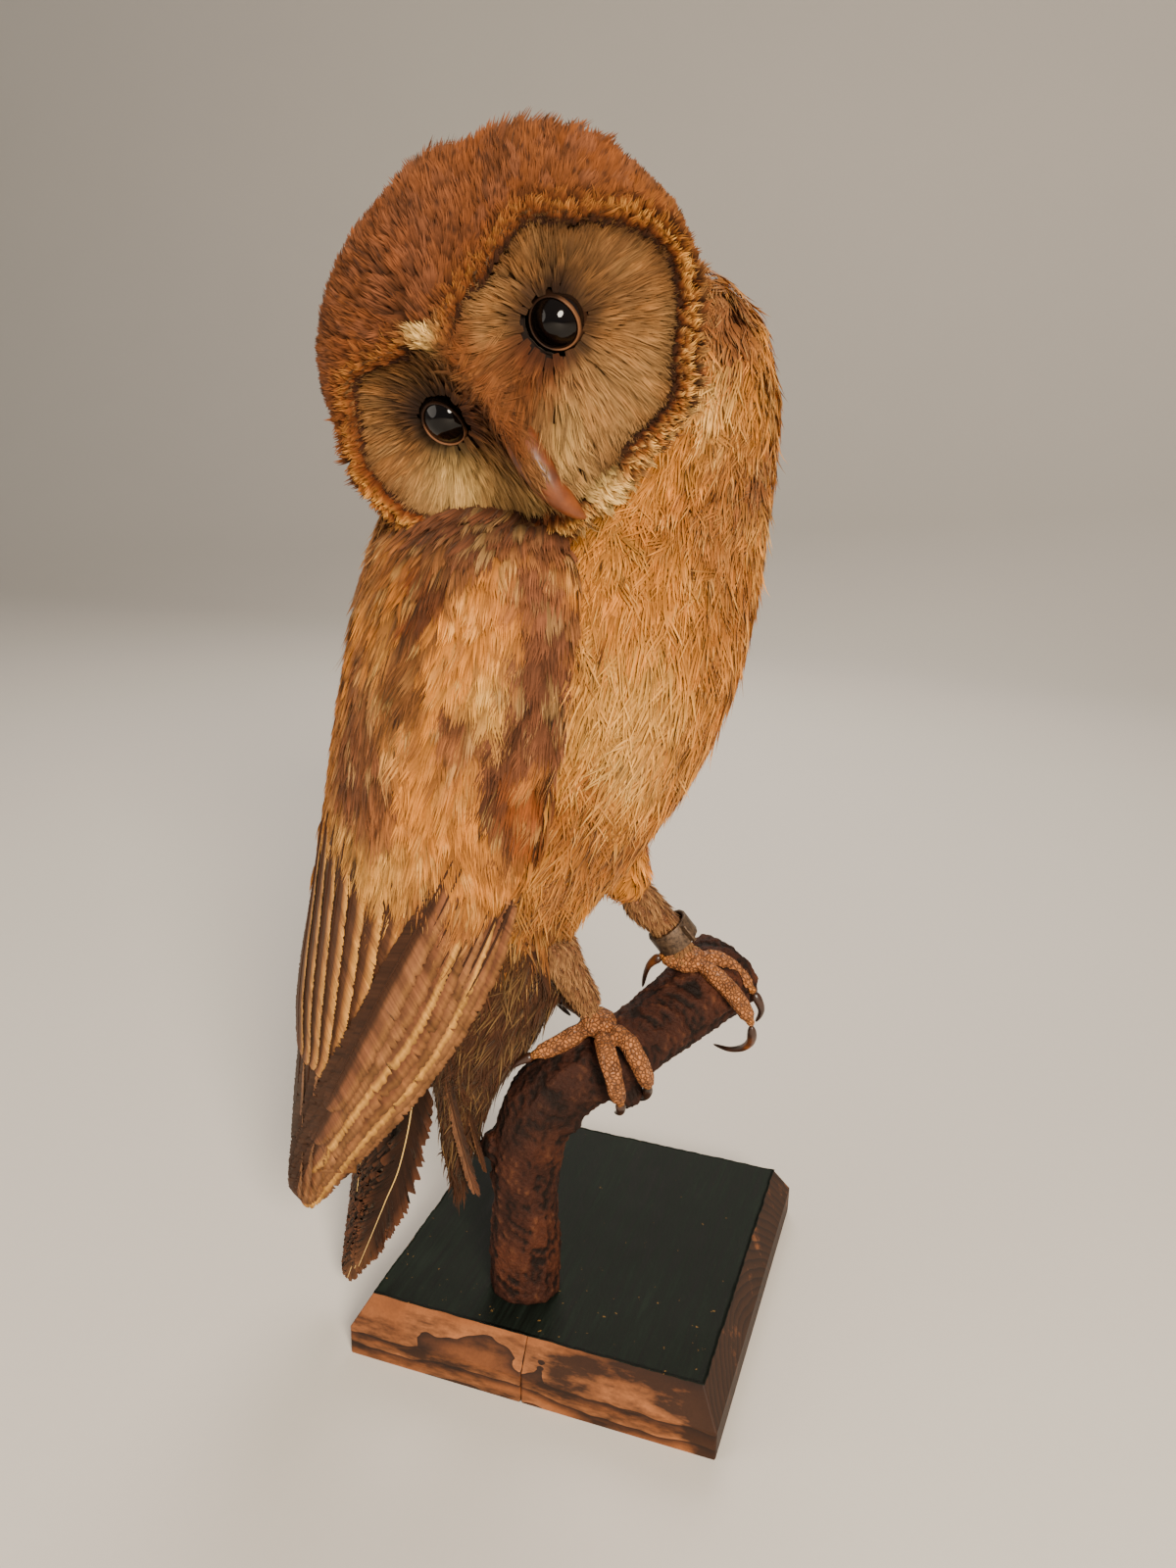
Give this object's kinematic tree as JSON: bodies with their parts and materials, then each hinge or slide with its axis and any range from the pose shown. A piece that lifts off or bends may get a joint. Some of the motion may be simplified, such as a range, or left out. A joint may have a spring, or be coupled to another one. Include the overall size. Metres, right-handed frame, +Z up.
{
  "type": "taxidermy barn owl",
  "caption": "Taxidermy barn owl with its head turned and tilted to one side, perched on a bent branch stub that stands on a square wooden board with bevelled edges.",
  "frame": {"origin": "middle of the board's underside", "axes": "+X the way the owl's breast faces, along the board's front edge; +Y to the owl's left, away from the board's front edge; +Z up"},
  "size_m": [0.1621, 0.1459, 0.3733],
  "materials": {
    "board": "bevels stained and charred, top painted dark green",
    "bark": "rough dry bark",
    "head_plumage": "orange-brown plumage with a greyish face disc",
    "breast_plumage": "golden-buff plumage with small dark spots",
    "wing_plumage": "mottled grey-brown and golden plumage",
    "flight_feathers": "barred brown and buff flight feathers",
    "down": "soft grey-buff down",
    "toe_scales": "dry tan scales",
    "bill_horn": "smooth horn",
    "claw_horn": "dark polished horn",
    "eye_glass": "glossy black",
    "ring_metal": "dull, scratched"
  },
  "bodies": {
    "root": {"base_left_board": "board", "base_right_board": "board", "branch": "bark", "head": "head_plumage", "neck": "breast_plumage", "trunk": "breast_plumage", "wing_left": "wing_plumage", "wing_right": "wing_plumage", "primaries_left": "flight_feathers", "primaries_right": "flight_feathers", "tail": "flight_feathers", "vent": "down", "thigh_left": "down", "thigh_right": "down", "shank_left": "down", "shank_right": "down", "foot_left": "toe_scales", "foot_right": "toe_scales", "bill_upper": "bill_horn", "bill_lower": "bill_horn", "eye_left": "eye_glass", "eye_right": "eye_glass", "leg_ring": "ring_metal", "claw_outer_left": "claw_horn", "claw_middle_left": "claw_horn", "claw_inner_left": "claw_horn", "claw_hind_left": "claw_horn", "claw_outer_right": "claw_horn", "claw_middle_right": "claw_horn", "claw_inner_right": "claw_horn", "claw_hind_right": "claw_horn"}
  },
  "joints": []
}
